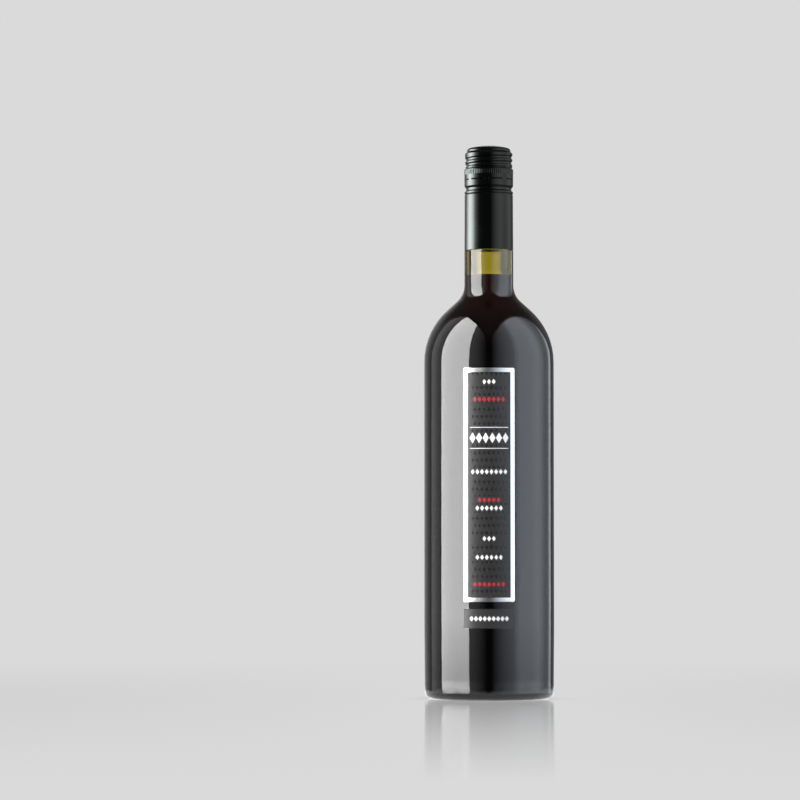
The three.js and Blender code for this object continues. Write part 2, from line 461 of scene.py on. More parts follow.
@dataclass(frozen=True)
class SilverFoil:
    """Bright stamped foil, with the faint unevenness of the paper under it."""

    name: str = "silver_foil"
    colour: Colour = (0.9, 0.9, 0.91)
    worn: Colour = (0.78, 0.78, 0.8)

    def build(self) -> bpy.types.Material:
        """A blurred mirror, a little duller in clouds.

        Returns:
            The material.
        """
        material, sheet = new_material(self.name)
        fibre = sheet.noise(scale=1500, detail=3)
        cloud = sheet.noise(scale=90).step(0.4, 0.8)
        feeds = {
            "Base Color": sheet.mix(cloud * 0.3, rgba(self.colour), rgba(self.worn)),
            "Metallic": 1.0,
            "Roughness": 0.2 + 0.08 * cloud,
            "Normal": sheet.bump(fibre, 0.01 * MM, 0.5),
        }
        finish_surface(sheet, feeds)
        return material


class Ink(Enum):
    """The inks on the labels, as linear colours."""

    WHITE = (0.7, 0.69, 0.68)
    RED = (0.34, 0.022, 0.03)


@dataclass(frozen=True)
class Motif:
    """A row of lozenges, or one long rule, across the middle of a label."""

    height: float
    ink: Ink
    count: int = 1
    half_width: float = 0.8 * MM
    half_height: float = 1.4 * MM
    pitch: float = 3 * MM
    is_rule: bool = False

    def mask(self, sheet: NodeSheet, across: Value, up: Value) -> Value:
        """Where the ink lies.

        A lozenge covers the points where |x| / half width + |z| / half height is under 1, with x taken
        from the middle of its place in the row. A rule covers |x| and |z| under its half sizes.

        Args:
            sheet: the label's nodes.
            across: the distance from the label's middle line, in metres.
            up: the height above the label's lower edge, in metres.

        Returns:
            1 on the ink and 0 beside it, with a narrow soft edge.
        """
        rise = abs(up - self.height) / self.half_height
        if self.is_rule:
            reach = abs(across) / self.half_width
            return reach.step(1.005, 0.995) * rise.step(1.15, 0.85)
        shift = 0.5 * self.pitch if self.count % 2 == 0 else 0.0
        within = abs(across).step(self.count * self.pitch / 2 + 0.01 * MM, self.count * self.pitch / 2)
        cell = across + (shift + PITCHES_ASIDE * self.pitch)
        in_cell = sheet.math("PINGPONG", cell, self.pitch / 2)
        return (in_cell / self.half_width + rise).step(1.06, 0.94) * within


@dataclass(frozen=True)
class LabelPrint:
    """Dark grey label paper with ghost rows of varnished lozenges and a few motifs in white and red."""

    name: str
    motifs: Sequence[Motif]
    ghost_rows: bool = False
    paper: Colour = (0.019, 0.018, 0.018)
    worn: Colour = (0.025, 0.0235, 0.023)
    ghost: Colour = (0.009, 0.0088, 0.0092)
    row_pitch: float = 4.1 * MM
    ghost_pitch: float = 2.7 * MM
    ghost_half: float = 10.9 * MM
    ghost_fade: float = 1.5 * MM
    ghost_tall: float = 0.62
    ghost_wide: float = 0.36
    clear_of_motif: float = 1.2 * MM

    def _ghost_mask(self, sheet: NodeSheet, across: Value, up: Value) -> Value:
        """Where the varnished lozenges lie, in rows that are shifted by turns.

        Args:
            sheet: the label's nodes.
            across: the distance from the label's middle line, in metres.
            up: the height above the label's lower edge, in metres.

        Returns:
            1 on the varnish and 0 beside it, with a soft edge.
        """
        row = sheet.math("FLOOR", up / self.row_pitch)
        odd = sheet.math("PINGPONG", row, 1.0)
        in_row = abs(sheet.math("FRACT", up / self.row_pitch) - 0.5) * (2.0 / self.ghost_tall)
        cell = across + odd * (self.ghost_pitch / 2) + PITCHES_ASIDE * self.ghost_pitch
        in_cell = sheet.math("PINGPONG", cell, self.ghost_pitch / 2) / (self.ghost_wide * self.ghost_pitch)
        inside = abs(across).step(self.ghost_half, self.ghost_half - self.ghost_fade)
        return (in_cell + in_row).step(1.12, 0.85) * inside

    def build(self) -> bpy.types.Material:
        """Satin paper that carries the print.

        Returns:
            The material.
        """
        material, sheet = new_material(self.name)
        across, up, _ = sheet.place("UV")
        fibre = sheet.noise(scale=2200, detail=4)
        tone = sheet.noise(scale=70).step(0.3, 0.7)
        colour = sheet.mix(tone * 0.5, rgba(self.paper), rgba(self.worn))
        rough = 0.28 + 0.06 * fibre
        height = 0.35 * fibre
        inked: Feed = 0.0
        for motif in self.motifs:
            mask = motif.mask(sheet, across, up)
            inked = mask + inked
            colour = sheet.mix(mask, colour, rgba(motif.ink.value))
        if self.ghost_rows:
            ghost = self._ghost_mask(sheet, across, up)
            for motif in self.motifs:
                reach = motif.half_height + self.clear_of_motif
                ghost = ghost * abs(up - motif.height).step(motif.half_height, reach)
            colour = sheet.mix(ghost * 0.8, colour, rgba(self.ghost))
            rough = rough - 0.1 * ghost
            height = height + ghost
        feeds = {
            "Base Color": colour,
            "Roughness": rough,
            "Normal": sheet.bump(height + inked, 0.02 * MM, 0.6),
        }
        finish_surface(sheet, feeds)
        return material


def make_mesh(
    name: str,
    points: np.ndarray,
    faces: Sequence[np.ndarray],
    sharp: float = 35.0,
    uv: np.ndarray | None = None,
) -> bpy.types.Object:
    """Puts a surface into a new object. The faces of a closed one point outwards.

    The volume is a sixth of the sum, over the faces' triangles, of a . (b x c). Where it is negative,
    every face is turned round.

    Args:
        name: the object's name.
        points: the corners, one row of x, y and z each.
        faces: arrays of corner numbers, one row a face, all rows of an array as long.
        sharp: the angle in degrees above which an edge isn't smoothed.
        uv: a u and v for each corner, if the surface has them.

    Returns:
        The object, at the origin.
    """
    fans = [part[:, [0, k, k + 1]] for part in faces for k in range(1, part.shape[1] - 1)]
    a, b, c = (points[np.concatenate(fans)[:, k]] for k in range(3))
    if np.einsum("ij,ij->", a, np.cross(b, c)) < 0:
        faces = [part[:, ::-1] for part in faces]
    corners = np.concatenate([part.ravel() for part in faces]).astype(np.int32)
    lengths = np.concatenate([np.full(len(part), part.shape[1]) for part in faces])
    starts = np.concatenate([[0], np.cumsum(lengths)[:-1]]).astype(np.int32)
    mesh = bpy.data.meshes.new(name)
    mesh.vertices.add(len(points))
    mesh.vertices.foreach_set("co", points.astype(np.float32).ravel())
    mesh.loops.add(len(corners))
    mesh.loops.foreach_set("vertex_index", corners)
    mesh.polygons.add(len(starts))
    mesh.polygons.foreach_set("loop_start", starts)
    mesh.update(calc_edges=True)
    mesh.polygons.foreach_set("use_smooth", np.ones(len(starts), dtype=bool))
    mesh.set_sharp_from_angle(angle=math.radians(sharp))
    if uv is not None:
        layer = mesh.uv_layers.new(name="print")
        layer.data.foreach_set("uv", uv[corners].astype(np.float32).ravel())
    piece = bpy.data.objects.new(name, mesh)
    bpy.context.scene.collection.objects.link(piece)
    return piece


def grid_faces(rows: int, columns: int, wrap_rows: bool = False) -> np.ndarray:
    """The four-cornered faces of a grid of points whose columns run right round.

    Args:
        rows: how many rows the grid has.
        columns: how many points a row has.
        wrap_rows: whether the last row joins the first one.

    Returns:
        The corner numbers, one row a face.
    """
    row = np.arange(rows if wrap_rows else rows - 1)[:, None]
    column = np.arange(columns)[None, :]
    after = (column + 1) % columns
    low, high = row * columns, (row + 1) % rows * columns
    corners = (low + column, low + after, high + after, high + column)
    return np.stack(np.broadcast_arrays(*corners), axis=-1).reshape(-1, 4)


def dress(
    piece: bpy.types.Object,
    node: str,
    slot: str,
    *materials: bpy.types.Material,
) -> bpy.types.Object:
    """Gives a piece its materials and its place in the frame.

    Args:
        piece: the piece.
        node: the solid that it replaces.
        slot: the name of its finish, which is not used.
        materials: its materials, the main one first.

    Returns:
        The piece.
    """
    for material in materials:
        piece.data.materials.append(material)
    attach(piece, BODY)
    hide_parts(node)
    return piece


def turn(name: str, radius: np.ndarray, height: np.ndarray, sharp: float = 35.0) -> bpy.types.Object:
    """Turns an outline about the Z axis into a closed surface.

    Row i and column j go to (r sin a, -r cos a, z), where a is j's share of a full turn, r is
    radius[i, j] and z is height[i, j]. The first and the last row lie on the axis, and each becomes
    one point with a fan of triangles round it.

    Args:
        name: the object's name.
        radius: the distance from the axis for each row and column, or one column for all of them.
        height: the height, likewise.
        sharp: the angle in degrees above which an edge isn't smoothed.

    Returns:
        The new object.
    """
    rows, columns = radius.shape
    angle = np.arange(columns) * (2 * math.pi / columns)
    x, y = radius * np.sin(angle), -radius * np.cos(angle)
    ring = np.stack([x, y, np.broadcast_to(height, x.shape)], axis=-1)[1:-1].reshape(-1, 3)
    poles = np.array([[0, 0, height[0, 0]], [0, 0, height[-1, 0]]])
    quads = grid_faces(rows - 2, columns)
    column = np.arange(columns)
    after = (column + 1) % columns
    first, last = len(ring), len(ring) + 1
    lowest = np.stack([np.full(columns, first), after, column], axis=-1)
    top_row = (rows - 3) * columns
    highest = np.stack([np.full(columns, last), top_row + column, top_row + after], axis=-1)
    return make_mesh(name, np.concatenate([ring, poles]), [quads, lowest, highest], sharp)


@dataclass(frozen=True)
class Corner:
    """A corner of an outline: distance from the axis, height, and the radius that rounds it."""

    r: float
    z: float
    fillet: float = 0.0


def rounded(corners: Sequence[Corner], degrees_per_step: float = 6.0) -> np.ndarray:
    """An outline with its corners rounded.

    Where the sides leave a corner in directions a and b, and h is half the angle between them, the
    arc of radius f touches each side f / tan h from the corner, and its centre lies f / sin h from
    the corner along a + b. The arc's points are spaced evenly between the two touching points.

    Args:
        corners: the corners in order, from one end to the other.
        degrees_per_step: how far an arc turns between two points.

    Returns:
        The points, one row of r and z each.
    """
    spots = np.array([[corner.r, corner.z] for corner in corners])
    parts = [spots[:1]]
    for before, spot, after, corner in zip(spots, spots[1:], spots[2:], corners[1:]):
        if corner.fillet == 0:
            parts.append(spot[None])
            continue
        a = (before - spot) / np.linalg.norm(before - spot)
        b = (after - spot) / np.linalg.norm(after - spot)
        half = 0.5 * math.acos(float(np.clip(a @ b, -1, 1)))
        centre = spot + (a + b) / np.linalg.norm(a + b) * corner.fillet / math.sin(half)
        ends = [spot + side * corner.fillet / math.tan(half) - centre for side in (a, b)]
        start, end = (math.atan2(end[1], end[0]) for end in ends)
        swing = (end - start + math.pi) % (2 * math.pi) - math.pi
        count = max(2, math.ceil(math.degrees(abs(swing)) / degrees_per_step) + 1)
        angle = start + swing * np.linspace(0, 1, count)
        parts.append(centre + corner.fillet * np.stack([np.cos(angle), np.sin(angle)], axis=-1))
    parts.append(spots[-1:])
    return np.concatenate(parts)


def refined(line: np.ndarray, longest: float | np.ndarray) -> np.ndarray:
    """An outline with points added evenly along its sides, so that none is longer than a given length.

    Args:
        line: the outline's points, one row of r and z each.
        longest: the length, for all sides or for each.

    Returns:
        The outline with the points added.
    """
    parts = []
    for start, end, limit in zip(line, line[1:], np.broadcast_to(longest, len(line) - 1)):
        count = max(1, math.ceil(float(np.linalg.norm(end - start)) / limit))
        share = np.arange(count)[:, None] / count
        parts.append(start + (end - start) * share)
    return np.concatenate([*parts, line[-1:]])


@dataclass
class Bottle:
    """The glass and the wine in it."""

    body_radius: float
    wine_level: float
    cap_foot: float
    cap_top: float
    heel_radius: float = 36.95 * MM
    heel_round: float = 4.2 * MM
    heel_relief_top: float = 42 * MM
    heel_blend: float = 40 * MM
    body_blend: float = 200 * MM
    rest_ring_inner: float = 29 * MM
    push_up: float = 3.5 * MM
    shoulder_start: float = 193 * MM
    shoulder_round: float = 40 * MM
    shoulder_slope: float = math.radians(48)
    neck_radius: float = 14.1 * MM
    neck_top_radius: float = 14.05 * MM
    neck_round: float = 12.5 * MM
    wall: float = 3.3 * MM
    floor: float = 6.5 * MM
    inner_heel_round: float = 7 * MM
    bore_radius: float = 9 * MM
    bore_start: float = 247 * MM
    bore_taper: float = 3 * MM
    bore_round: float = 12 * MM
    finish_radius: float = 13.22 * MM
    mouth_radius: float = 12.32 * MM
    mouth_height: float = 25 * MM
    mouth_below_top: float = 4.2 * MM
    mouth_taper: float = 1 * MM
    lip_round: float = 1 * MM
    lip_inner_round: float = 0.8 * MM
    cap_gap: float = 0.15 * MM
    wine_reach: float = 0.05 * MM
    meniscus: float = 0.7 * MM
    longest_side: float = 8 * MM
    turns: int = 288

    def _shoulder(self, depth: float) -> list[Corner]:
        """The two corners of the shoulder, at a depth below the outer surface.

        Both corners join a vertical line to the slope, so a wall of depth d moves them in by d and down
        by d tan(s / 2), where s is the slope's angle from the vertical.

        Args:
            depth: the depth below the outer surface.

        Returns:
            The lower corner and the upper one.
        """
        half = math.tan(self.shoulder_slope / 2)
        low = self.shoulder_start + self.shoulder_round * half
        high = low + (self.body_radius - self.neck_radius) / math.tan(self.shoulder_slope)
        drop = depth * half
        return [
            Corner(self.body_radius - depth, low - drop, self.shoulder_round - depth),
            Corner(self.neck_radius - depth, high - drop, self.neck_round + depth),
        ]

    def _dome(self, width: float, low: float) -> np.ndarray:
        """The pushed-up middle of the base: z = low + rise (1 + cos(pi r / width)) / 2.

        Args:
            width: the distance from the axis at which it ends.
            low: its height there.

        Returns:
            The outline from the axis outwards, one row of r and z each.
        """
        radius = np.linspace(0, width, 16)
        height = low + 0.5 * self.push_up * (1 + np.cos(math.pi * radius / width))
        return np.stack([radius, height], axis=-1)

    def _hollow(self, reach: float = 0.0) -> np.ndarray:
        """The inside of the glass from the middle of its floor up to the mouth.

        Args:
            reach: how far the outline is moved out into the glass.

        Returns:
            The outline, one row of r and z each.
        """
        wall = self.wall - reach
        floor = self.floor - reach
        radius = self.body_radius - wall
        neck = self.neck_radius - wall
        bore = self.bore_radius + reach
        base = self._dome(radius - self.inner_heel_round, floor)
        corners = [
            Corner(radius - self.inner_heel_round, floor),
            Corner(radius, floor, self.inner_heel_round),
            *self._shoulder(wall),
            Corner(neck, self.wine_level - self.bore_taper, self.bore_round),
            Corner(bore, self.bore_start, self.bore_round),
            Corner(bore, self.cap_top - self.mouth_below_top),
        ]
        return np.concatenate([base[:-1], rounded(corners)])

    def build_glass(self) -> bpy.types.Object:
        """The shell of glass, with its mouth open under the cap.

        Returns:
            The piece.
        """
        mouth = self.cap_top - self.mouth_below_top
        corners = [
            Corner(self.rest_ring_inner, 0),
            Corner(self.heel_radius, 0, self.heel_round),
            Corner(self.heel_radius, self.heel_round * 2, self.heel_blend),
            Corner(self.body_radius, self.heel_relief_top, self.body_blend),
            *self._shoulder(0),
            Corner(self.neck_top_radius, self.cap_foot - self.cap_gap, 0.3 * MM),
            Corner(self.finish_radius, self.cap_foot - self.cap_gap),
            Corner(self.finish_radius, mouth - self.mouth_height - self.mouth_taper),
            Corner(self.mouth_radius, mouth - self.mouth_height),
            Corner(self.mouth_radius, mouth, self.lip_round),
            Corner(self.bore_radius, mouth, self.lip_inner_round),
        ]
        outer = np.concatenate([self._dome(self.rest_ring_inner, 0)[:-1], rounded(corners)])
        line = refined(np.concatenate([outer, self._hollow()[::-1]]), self.longest_side)
        radius = np.repeat(line[:, :1], self.turns, axis=1)
        piece = turn("bottle_glass", radius, line[:, 1:])
        return dress(piece, "glass_bottle", "tinted_glass", BottleGlass().build())

    def build_wine(self) -> bpy.types.Object:
        """The wine, which reaches just into the wall and climbs it a little at its rim.

        At a distance d from the wall its top lies at level + m exp(-d / m), where m is the meniscus.

        Returns:
            The piece.
        """
        level = self.wine_level - self.meniscus
        walls = refined(self._hollow(self.wine_reach), 1 * MM)
        walls = walls[walls[:, 1] < self.wine_level]
        edge = float(walls[-1, 0])
        inward = np.linspace(0, 5 * self.meniscus, 12)
        rise = self.meniscus * np.exp(-inward / self.meniscus)
        curve = np.stack([edge - inward, level + rise], axis=-1)
        line = refined(np.concatenate([walls, curve, [[0.0, level]]]), self.longest_side)
        radius = np.repeat(line[:, :1], self.turns, axis=1)
        piece = turn("red_wine", radius, line[:, 1:], 60)
        dress(piece, "wine", "red_wine", RedWine().build_depth(), RedWine().build_top())
        middles = np.empty(3 * len(piece.data.polygons), dtype=np.float32)
        normals = np.empty_like(middles)
        piece.data.polygons.foreach_get("center", middles)
        piece.data.polygons.foreach_get("normal", normals)
        on_top = (middles[2::3] > level - 0.01 * MM) & (normals[2::3] > 0.3)
        piece.data.polygons.foreach_set("material_index", on_top.astype(np.int32))
        return piece


@dataclass
class ScrewCap:
    """The long aluminium closure. Heights are measured down from its top.

    The corners of its lower end are given in millimetres: the distance from the axis, the height down
    from the top, and the radius that rounds the corner.
    """

    top: float
    foot: float
    radius: float
    wall: float = 0.5 * MM
    crown_radius: float = 10.8 * MM
    crown_rise: float = 1.5 * MM
    rim_round: float = 1.8 * MM
    thread_top: float = 4.5 * MM
    thread_foot: float = 13.4 * MM
    thread_pitch: float = 3.18 * MM
    thread_depth: float = 0.6 * MM
    thread_half_width: float = 0.8 * MM
    thread_flank: float = 0.95 * MM
    thread_datum: float = 13.4 * MM
    thread_from: float = 0.3
    thread_to: float = 2.25
    thread_fade: float = 0.15
    thread_turn: float = 0.75
    thread_ramp: float = 0.8 * MM
    wall_below_thread: float = 13.3 * MM
    wall_at_thread_foot: float = 13.6 * MM
    wall_at_thread_top: float = 13.72 * MM
    band_top: float = 14.3 * MM
    band_foot: float = 17.4 * MM
    knurls: int = 72
    knurl_depth: float = 0.17 * MM
    knurl_width: float = 0.7
    knurl_margin: float = 0.1 * MM
    knurl_fade: float = 0.35 * MM
    slit_middle: float = 20.1 * MM
    slit_height: float = 0.75 * MM
    slit_depth: float = 0.35 * MM
    slit_ends: float = 0.04
    slit_turn: float = 0.61
    bridges: int = 8
    bridge_share: float = 0.2
    band_relief: float = 0.05 * MM
    beads: Sequence[tuple[float, float, float]] = (
        (13.92, 28.9, 0.3),
        (13.64, 28.4, 0.12),
        (14.02, 27.9, 0.3),
        (13.95, 27.0, 0.4),
        (13.1, 26.2, 0.3),
        (13.1, 24.9, 0.3),
    )
    collar_foot: float = 23.8 * MM
    sleeve_radius: float = 14.05 * MM
    sleeve_inner_radius: float = 13.55 * MM
    inner_radius: float = 12.5 * MM
    inner_top: float = 4.05 * MM
    sleeve_top: float = 28.9 * MM
    sleeve_bend_radius: float = 13.4 * MM
    pressed_beyond: float = 12.9 * MM
    pressed_fade: float = 0.3 * MM
    steps_per_knurl: int = 6
    fine_side: float = 0.2 * MM
    coarse_side: float = 6 * MM

    def _outline(self) -> np.ndarray:
        """The closure's section: inside from its top down, round the cut edge, and up the outside.

        The crown is a dome, top - rise (r / crown radius)^2, that a round rim joins to the side.

        Returns:
            The outline, one row of r and z each.
        """
        r, top = self.radius, self.top
        crown_edge = self.crown_radius + self.rim_round
        rim_slope = 2 * self.crown_rise / self.crown_radius
        inside = [
            Corner(0, top - self.inner_top),
            Corner(self.inner_radius, top - self.inner_top),
            Corner(self.inner_radius, top - self.sleeve_top + self.wall),
            Corner(self.sleeve_bend_radius, top - self.sleeve_top, 0.5 * MM),
            Corner(self.sleeve_inner_radius, self.foot),
        ]
        outside = [
            Corner(self.sleeve_radius, self.foot, 0.12 * MM),
            *(Corner(out * MM, top - down * MM, fillet * MM) for out, down, fillet in self.beads),
            Corner(r - self.band_relief, top - self.collar_foot, 0.5 * MM),
            Corner(r - self.band_relief, top - self.band_foot - 0.1 * MM, 0.2 * MM),
            Corner(r, top - self.band_top + 0.15 * MM, 0.3 * MM),
            Corner(self.wall_below_thread, top - self.thread_foot, 0.35 * MM),
            Corner(self.wall_at_thread_foot, top - self.thread_foot + self.thread_ramp, 0.3 * MM),
            Corner(self.wall_at_thread_top, top - self.thread_top - 0.4 * MM, 0.5 * MM),
            Corner(crown_edge, top - self.thread_top + self.thread_ramp, 0.3 * MM),
            Corner(crown_edge, top - self.crown_rise - rim_slope * self.rim_round, self.rim_round),
            Corner(self.crown_radius, top - self.crown_rise),
        ]
        radius = np.linspace(self.crown_radius, 0, 16)[1:]
        dome = np.stack([radius, top - self.crown_rise * (radius / self.crown_radius) ** 2], axis=-1)
        return np.concatenate([rounded(inside, 15), rounded(outside, 10), dome])

    def _thread(self, angle: np.ndarray, down: np.ndarray) -> np.ndarray:
        """How deep the thread is rolled in.

        On lap k at a share t of a turn, the groove runs at k + t turns times the pitch above its datum.
        Its bottom is flat out to nearly the half width, and a flank with the shape of a smooth step rises
        beyond it. It fades in and out at its two ends, and the deepest of the laps counts.

        Args:
            angle: the turn about the axis, one for each column.
            down: the height down from the top, one for each row.

        Returns:
            The depth at each row and column.
        """
        turned = (angle / (2 * math.pi) + self.thread_turn) % 1
        depths = []
        for lap in range(3):
            along = lap + turned
            middle = self.thread_datum - along * self.thread_pitch
            flank = np.clip((self.thread_half_width - np.abs(down - middle)) / self.thread_flank + 0.5, 0, 1)
            across = flank * flank * (3 - 2 * flank)
            from_end = np.minimum(along - self.thread_from, self.thread_to - along)
            ends = np.clip(from_end / self.thread_fade, 0, 1)
            depths.append(self.thread_depth * across * ends)
        return np.max(depths, axis=0)

    def _knurls(self, angle: np.ndarray, down: np.ndarray) -> np.ndarray:
        """How deep the grip is cut: narrow grooves round the band, one in each pitch, faded at its edges.

        With t as the share of a pitch from the nearest groove's middle, from 0 to 1/2, a groove is
        max(0, 1 - 2 t / width) deep.

        Args:
            angle: the turn about the axis, one for each column.
            down: the height down from the top, one for each row.

        Returns:
            The depth at each row and column.
        """
        off_middle = np.abs((angle * self.knurls / (2 * math.pi)) % 1 - 0.5)
        wave = np.clip(1 - 2 * off_middle / self.knurl_width, 0, 1)
        low, high = self.band_top + self.knurl_margin, self.band_foot - self.knurl_margin
        edge = np.clip(np.minimum(down - low, high - down) / self.knurl_fade, 0, 1)
        return self.knurl_depth * wave * edge

    def _slits(self, angle: np.ndarray, down: np.ndarray) -> np.ndarray:
        """How deep the tear line is cut.

        The turn has as many equal shares as bridges, and the middle of each is a bridge. The slits
        between them have the section of a V and rise at their ends.

        Args:
            angle: the turn about the axis, one for each column.
            down: the height down from the top, one for each row.

        Returns:
            The depth at each row and column.
        """
        share = (angle / (2 * math.pi) * self.bridges + self.slit_turn) % 1
        cut = np.clip((np.abs(share - 0.5) - self.bridge_share / 2) / self.slit_ends, 0, 1)
        across = np.clip(1 - np.abs(down - self.slit_middle) / (self.slit_height / 2), 0, 1)
        return self.slit_depth * cut * across

    def build(self) -> bpy.types.Object:
        """The closure as one thin shell: the outline is turned, and the thread, grip and slits pressed in.

        Returns:
            The piece.
        """
        line = self._outline()
        outer = np.arange(len(line)) > np.argmin(line[:, 1])
        above_slits = self.top - line[:, 1] < self.slit_middle + self.slit_height
        fine = (outer & above_slits & (line[:, 0] > self.pressed_beyond))[1:]
        line = refined(line, np.where(fine, self.fine_side, self.coarse_side))
        down = self.top - line[:, 1:]
        outer = (np.arange(len(line)) > np.argmin(line[:, 1]))[:, None]
        columns = self.knurls * self.steps_per_knurl
        angle = (np.arange(columns) * 2 * math.pi / columns)[None, :]
        pressed = self._thread(angle, down) + self._knurls(angle, down) + self._slits(angle, down)
        near_wall = np.clip((line[:, :1] - self.pressed_beyond) / self.pressed_fade, 0, 1)
        radius = line[:, :1] - pressed * outer * near_wall
        piece = turn("screw_closure", radius, line[:, 1:], 50)
        dress(piece, "screw_cap", "lacquered_aluminium", CapLacquer().build(), BareAluminium().build())
        inner_faces = (np.count_nonzero(~outer) - 2) * columns
        inside = np.arange(len(piece.data.polygons)) < inner_faces
        piece.data.polygons.foreach_set("material_index", inside.astype(np.int32))
        return piece


@dataclass(frozen=True)
class LabelOutline:
    """The outline of a label: half its width measured round the glass, its heights and its corners."""

    half_arc: float
    low: float
    high: float
    corner: float

    @classmethod
    def on_node(cls, node: str, corner: float) -> "LabelOutline":
        """The outline of a label's solid. An arc over a straight half width w is R asin(w / R) long.

        Args:
            node: the solid's name.
            corner: the radius of the label's corners.

        Returns:
            The outline.
        """
        low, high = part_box(node)
        outer = -low[1]
        return cls(outer * math.asin(high[0] / outer), low[2], high[2], corner)


def wrap(across: np.ndarray, up: np.ndarray, radius: np.ndarray, on: float) -> np.ndarray:
    """Wraps flat places round the bottle: (u, v) goes to (r sin(u / R), -r cos(u / R), v).

    Args:
        across: u, the distance from the middle line.
        up: v, the height.
        radius: r, the distance from the axis.
        on: R, the radius on which u is measured.

    Returns:
        The places, with x, y and z along the last axis.
    """
    angle = across / on
    parts = (radius * np.sin(angle), -radius * np.cos(angle), up)
    return np.stack(np.broadcast_arrays(*parts), axis=-1)


@dataclass
class Label:
    """A label with round corners, stuck on the glass."""

    name: str
    node: str
    slot: str
    glass_radius: float
    outline: LabelOutline
    finish: LabelPrint
    lift: float = 0.03 * MM
    thickness: float = 0.2 * MM
    columns: int = 49
    rows: int = 121
    per_corner: int = 9

    def build(self) -> bpy.types.Object:
        """The label's sheet: a closed ring across it at each height.

        At a distance d from the nearer end the half width is W - c + sqrt(c^2 - (c - d)^2) inside the
        corners of radius c, and W between them. Each ring runs over the front and back behind it.

        Returns:
            The piece.
        """
        shape = self.outline
        span = shape.high - shape.low
        corner_rows = shape.corner * (1 - np.cos(np.linspace(0, math.pi / 2, self.per_corner)))
        middle = np.linspace(shape.corner, span - shape.corner, self.rows)[1:-1]
        up = np.concatenate([corner_rows, middle, span - corner_rows[::-1]])[:, None]
        inset = np.clip(shape.corner - np.minimum(up, span - up), 0, shape.corner)
        half = shape.half_arc - shape.corner + np.sqrt(shape.corner**2 - inset**2)
        share = np.linspace(-1, 1, self.columns)[None, :]
        across = half * np.concatenate([share, share[:, ::-1]], axis=1)
        inner = self.glass_radius + self.lift
        depth = np.repeat([inner + self.thickness, inner], self.columns)[None, :]
        points = wrap(across, up + shape.low, depth, inner).reshape(-1, 3)
        uv = np.stack(np.broadcast_arrays(across, up), axis=-1).reshape(-1, 2)
        ring = 2 * self.columns
        column = np.arange(self.columns - 1)
        end = np.stack([column, column + 1, ring - 2 - column, ring - 1 - column], axis=-1)
        last = (len(up) - 1) * ring
        faces = [grid_faces(len(up), ring), end[:, ::-1], end + last]
        piece = make_mesh(self.name, points, faces, 40, uv)
        return dress(piece, self.node, self.slot, self.finish.build())


@dataclass
class FoilFrame:
    """The silver band round the edge of the front label."""

    glass_radius: float
    outline: LabelOutline
    band: float = 2.4 * MM
    inner_corner: float = 0.3 * MM
    inset: float = 0.02 * MM
    lift: float = 0.23 * MM
    thickness: float = 0.1 * MM
    across: int = 6
    per_corner: int = 9
    per_side: int = 60

    def _loop(self, inset: float, corner: float) -> np.ndarray:
        """A closed path round a rectangle with round corners, at an inset from the label's edge.

        Each corner is a quarter circle about its own centre, and the sides between them are divided
        evenly, so paths at different insets have their points beside one another.

        Args:
            inset: the distance from the label's edge.
            corner: the radius of the path's corners.

        Returns:
            The path's points, one row of u and v each.
        """
        shape = self.outline
        half = shape.half_arc - inset - corner
        low, high = shape.low + inset + corner, shape.high - inset - corner
        centres = [(half, low, -90), (half, high, 0), (-half, high, 90), (-half, low, 180)]
        arcs = []
        for u, v, start in centres:
            angle = np.radians(start + np.linspace(0, 90, self.per_corner))
            arcs.append(np.stack([u + corner * np.cos(angle), v + corner * np.sin(angle)], axis=-1))
        share = np.linspace(0, 1, self.per_side)[1:-1, None]
        parts = []
        for arc, following in zip(arcs, arcs[1:] + arcs[:1]):
            parts += [arc, arc[-1] + (following[0] - arc[-1]) * share]
        return np.concatenate(parts)

    def build(self) -> bpy.types.Object:
        """The band: a flat section carried round the label's edge, between an outer and an inner path.

        Returns:
            The piece.
        """
        outer = self._loop(self.inset, self.outline.corner)
        inner = self._loop(self.band, self.inner_corner)
        share = np.linspace(0, 1, self.across)
        share = np.concatenate([share, share[::-1]])[None, :, None]
        flat = outer[:, None, :] * (1 - share) + inner[:, None, :] * share
        base = self.glass_radius + self.lift
        edge = np.minimum(share[..., 0], 1 - share[..., 0])
        crown = self.thickness * (0.7 + 0.3 * np.clip(edge / 0.08, 0, 1))
        on_front = (np.arange(2 * self.across) < self.across)[None, :]
        radius = base + np.where(on_front, crown, 0)
        points = wrap(flat[..., 0], flat[..., 1], radius, base)
        rows, columns = points.shape[:2]
        faces = [grid_faces(rows, columns, wrap_rows=True)]
        piece = make_mesh("foil_frame", points.reshape(-1, 3), faces, 40)
        return dress(piece, "label_foil_frame", "silver_foil", SilverFoil().build())


def front_motifs(height: float) -> list[Motif]:
    """The white and red motifs of the front label, set at shares of its height.

    Args:
        height: the label's height.

    Returns:
        The motifs, from the top down.
    """
    white, red = Ink.WHITE, Ink.RED
    small = {"half_width": 1.1 * MM, "half_height": 1.5 * MM, "pitch": 2.65 * MM}
    rule = {"half_width": 10.9 * MM, "half_height": 0.18 * MM, "is_rule": True}
    return [
        Motif(0.94 * height, white, 3, **small),
        Motif(0.865 * height, red, 7, **small),
        Motif(0.745 * height, white, **rule),
        Motif(0.7 * height, white, 6, half_width=1.75 * MM, half_height=3 * MM, pitch=3.75 * MM),
        Motif(0.655 * height, white, **rule),
        Motif(0.555 * height, white, 8, **small),
        Motif(0.435 * height, red, 5, **small),
        Motif(0.4 * height, white, 6, **small),
        Motif(0.27 * height, white, 3, **small),
        Motif(0.19 * height, white, 6, **small),
        Motif(0.075 * height, red, 7, **small),
    ]


